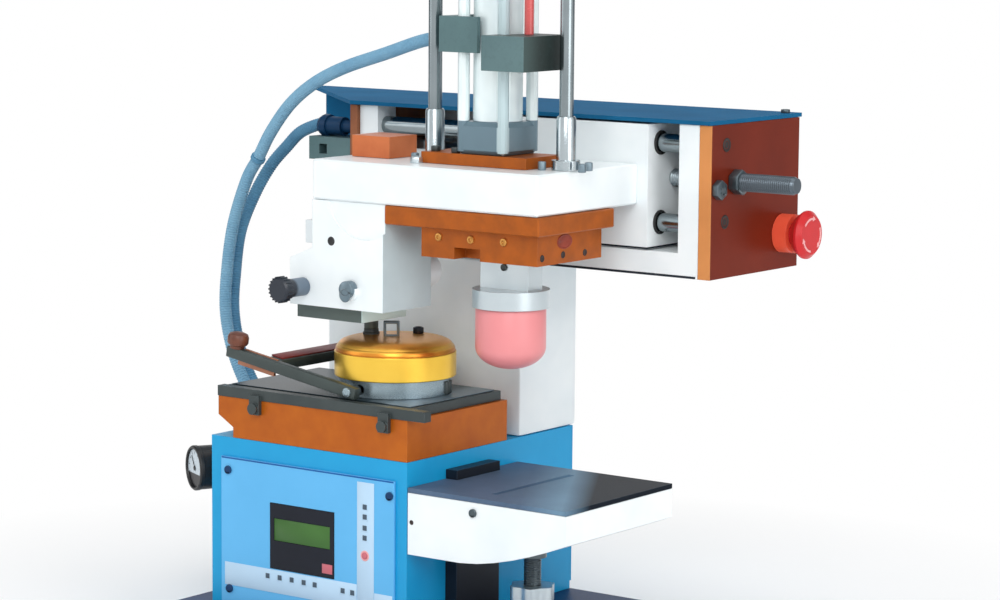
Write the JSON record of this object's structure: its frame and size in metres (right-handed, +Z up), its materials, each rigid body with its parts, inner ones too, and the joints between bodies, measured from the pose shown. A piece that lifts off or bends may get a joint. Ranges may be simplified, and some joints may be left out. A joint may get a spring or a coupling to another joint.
{
  "type": "pad printing machine",
  "caption": "Bench pad printing machine: a sliding carriage lowers a silicone pad, beside a closed ink cup, over a height-adjustable work table.",
  "frame": {"origin": "centre of the base plate's underside", "axes": "+Z up, +X from the ink cup towards the work table and the operator, -Y the side of the control panel"},
  "size_m": [0.6173, 0.3408, 0.6301],
  "materials": {
    "white_casting": "white powder coat on cast aluminium",
    "cabinet_blue": "sky blue paint, satin",
    "dark_blue": "dark blue paint, satin",
    "panel_blue": "printed overlay, matt",
    "window_black": "clear window over black, glossy",
    "orange_anodised": "orange-brown anodised, satin",
    "gold_anodised": "gold anodised, polished",
    "bright_steel": "ground and polished",
    "dark_steel": "dark oxide finish",
    "bare_aluminium": "plain, satin",
    "grey_green": "dark grey-green anodised",
    "black_plastic": "black, satin",
    "black_rubber": "black, matt",
    "red_plastic": "red, glossy",
    "pink_silicone": "pink silicone, satin",
    "hose_blue": "light blue ribbed conduit"
  },
  "bodies": {
    "frame": {"base_plate": "dark_blue", "foot_left_front": "black_rubber", "foot_left_back": "black_rubber", "foot_right_front": "black_rubber", "foot_right_back": "black_rubber", "cabinet": "cabinet_blue", "rear_cover": "cabinet_blue", "control_panel": "panel_blue", "display_window": "window_black", "pressure_gauge": "black_plastic", "hose_outlet": "dark_steel", "plate_base": "orange_anodised", "magnet_bed": "dark_steel", "printing_plate": "bright_steel", "front_bar": "dark_steel", "column": "white_casting", "upper_housing": "white_casting", "housing_cover": "dark_blue", "end_plate": "orange_anodised", "rear_plate": "orange_anodised", "rod_support": "bare_aluminium", "dark_block": "grey_green", "guide_rod_upper": "bright_steel", "guide_rod_lower": "bright_steel", "drive_cylinder": "bare_aluminium", "stop_screw": "dark_steel", "estop_collar": "red_plastic", "table_rail": "dark_steel", "housing_gland": "dark_blue", "hose_housing": "hose_blue"},
    "carriage": {"carriage_plate": "white_casting", "bearing_block": "white_casting", "drive_rod": "bright_steel", "pad_cylinder": "bare_aluminium", "cylinder_plate": "orange_anodised", "bush_left": "bright_steel", "bush_right": "bright_steel", "top_block": "orange_anodised", "valve_left": "grey_green", "valve_right": "grey_green", "air_tube": "red_plastic", "hanging_bracket": "white_casting", "press_plate": "grey_green", "hose_carriage": "hose_blue"},
    "pad_lift": {"lift_flange": "orange_anodised", "adjusting_block": "orange_anodised", "lift_rod_left": "bright_steel", "lift_rod_right": "bright_steel", "piston_rod": "bright_steel", "pad_holder": "bare_aluminium", "pad": "pink_silicone"},
    "cup": {"ink_cup": "gold_anodised", "cup_ring": "bare_aluminium"},
    "fork": {"cup_fork": "dark_steel"},
    "table": {"work_table": "white_casting", "table_plate": "dark_steel", "leadscrew": "bright_steel"},
    "nut": {"height_nut": "bare_aluminium"},
    "knob": {"bracket_knob": "black_plastic"},
    "estop": {"estop_button": "red_plastic"}
  },
  "joints": [
    {"name": "carriage_slide", "type": "slide", "parent": "frame", "child": "carriage", "axis": [1, 0, 0], "range_m": [-0.09, 0], "deforming": ["hose_carriage"]},
    {"name": "pad_lift", "type": "slide", "parent": "carriage", "child": "pad_lift", "axis": [0, 0, -1], "range_m": [0, 0.08]},
    {"name": "cup_slide", "type": "slide", "parent": "frame", "child": "cup", "axis": [1, 0, 0], "range_m": [-0.09, 0]},
    {"name": "fork_hinge", "type": "hinge", "parent": "cup", "child": "fork", "pos_m": [-0.039, -0.033, 0.2181], "axis": [0, 1, 0], "range_deg": [-8, 0]},
    {"name": "table_lift", "type": "slide", "parent": "frame", "child": "table", "axis": [0, 0, 1], "range_m": [-0.024, 0.015]},
    {"name": "nut_turn", "type": "hinge", "parent": "frame", "child": "nut", "pos_m": [0.105, -0.026, 0.0513], "axis": [0, 0, 1], "range_deg": [-1400, 2300]},
    {"name": "knob_turn", "type": "hinge", "parent": "carriage", "child": "knob", "pos_m": [-0.0925, -0.1, 0.3035], "axis": [0, -1, 0], "range_deg": [-180, 180]},
    {"name": "estop_press", "type": "slide", "parent": "frame", "child": "estop", "axis": [-1, 0, 0], "range_m": [0, 0.004], "stiffness_N_per_m": 1500, "springref_m": -0.002}
  ],
  "couplings": [
    {"joint": "cup_slide", "follows": "carriage_slide", "ratio": 1},
    {"joint": "nut_turn", "follows": "table_lift", "rad_per_m": -1570.8}
  ]
}
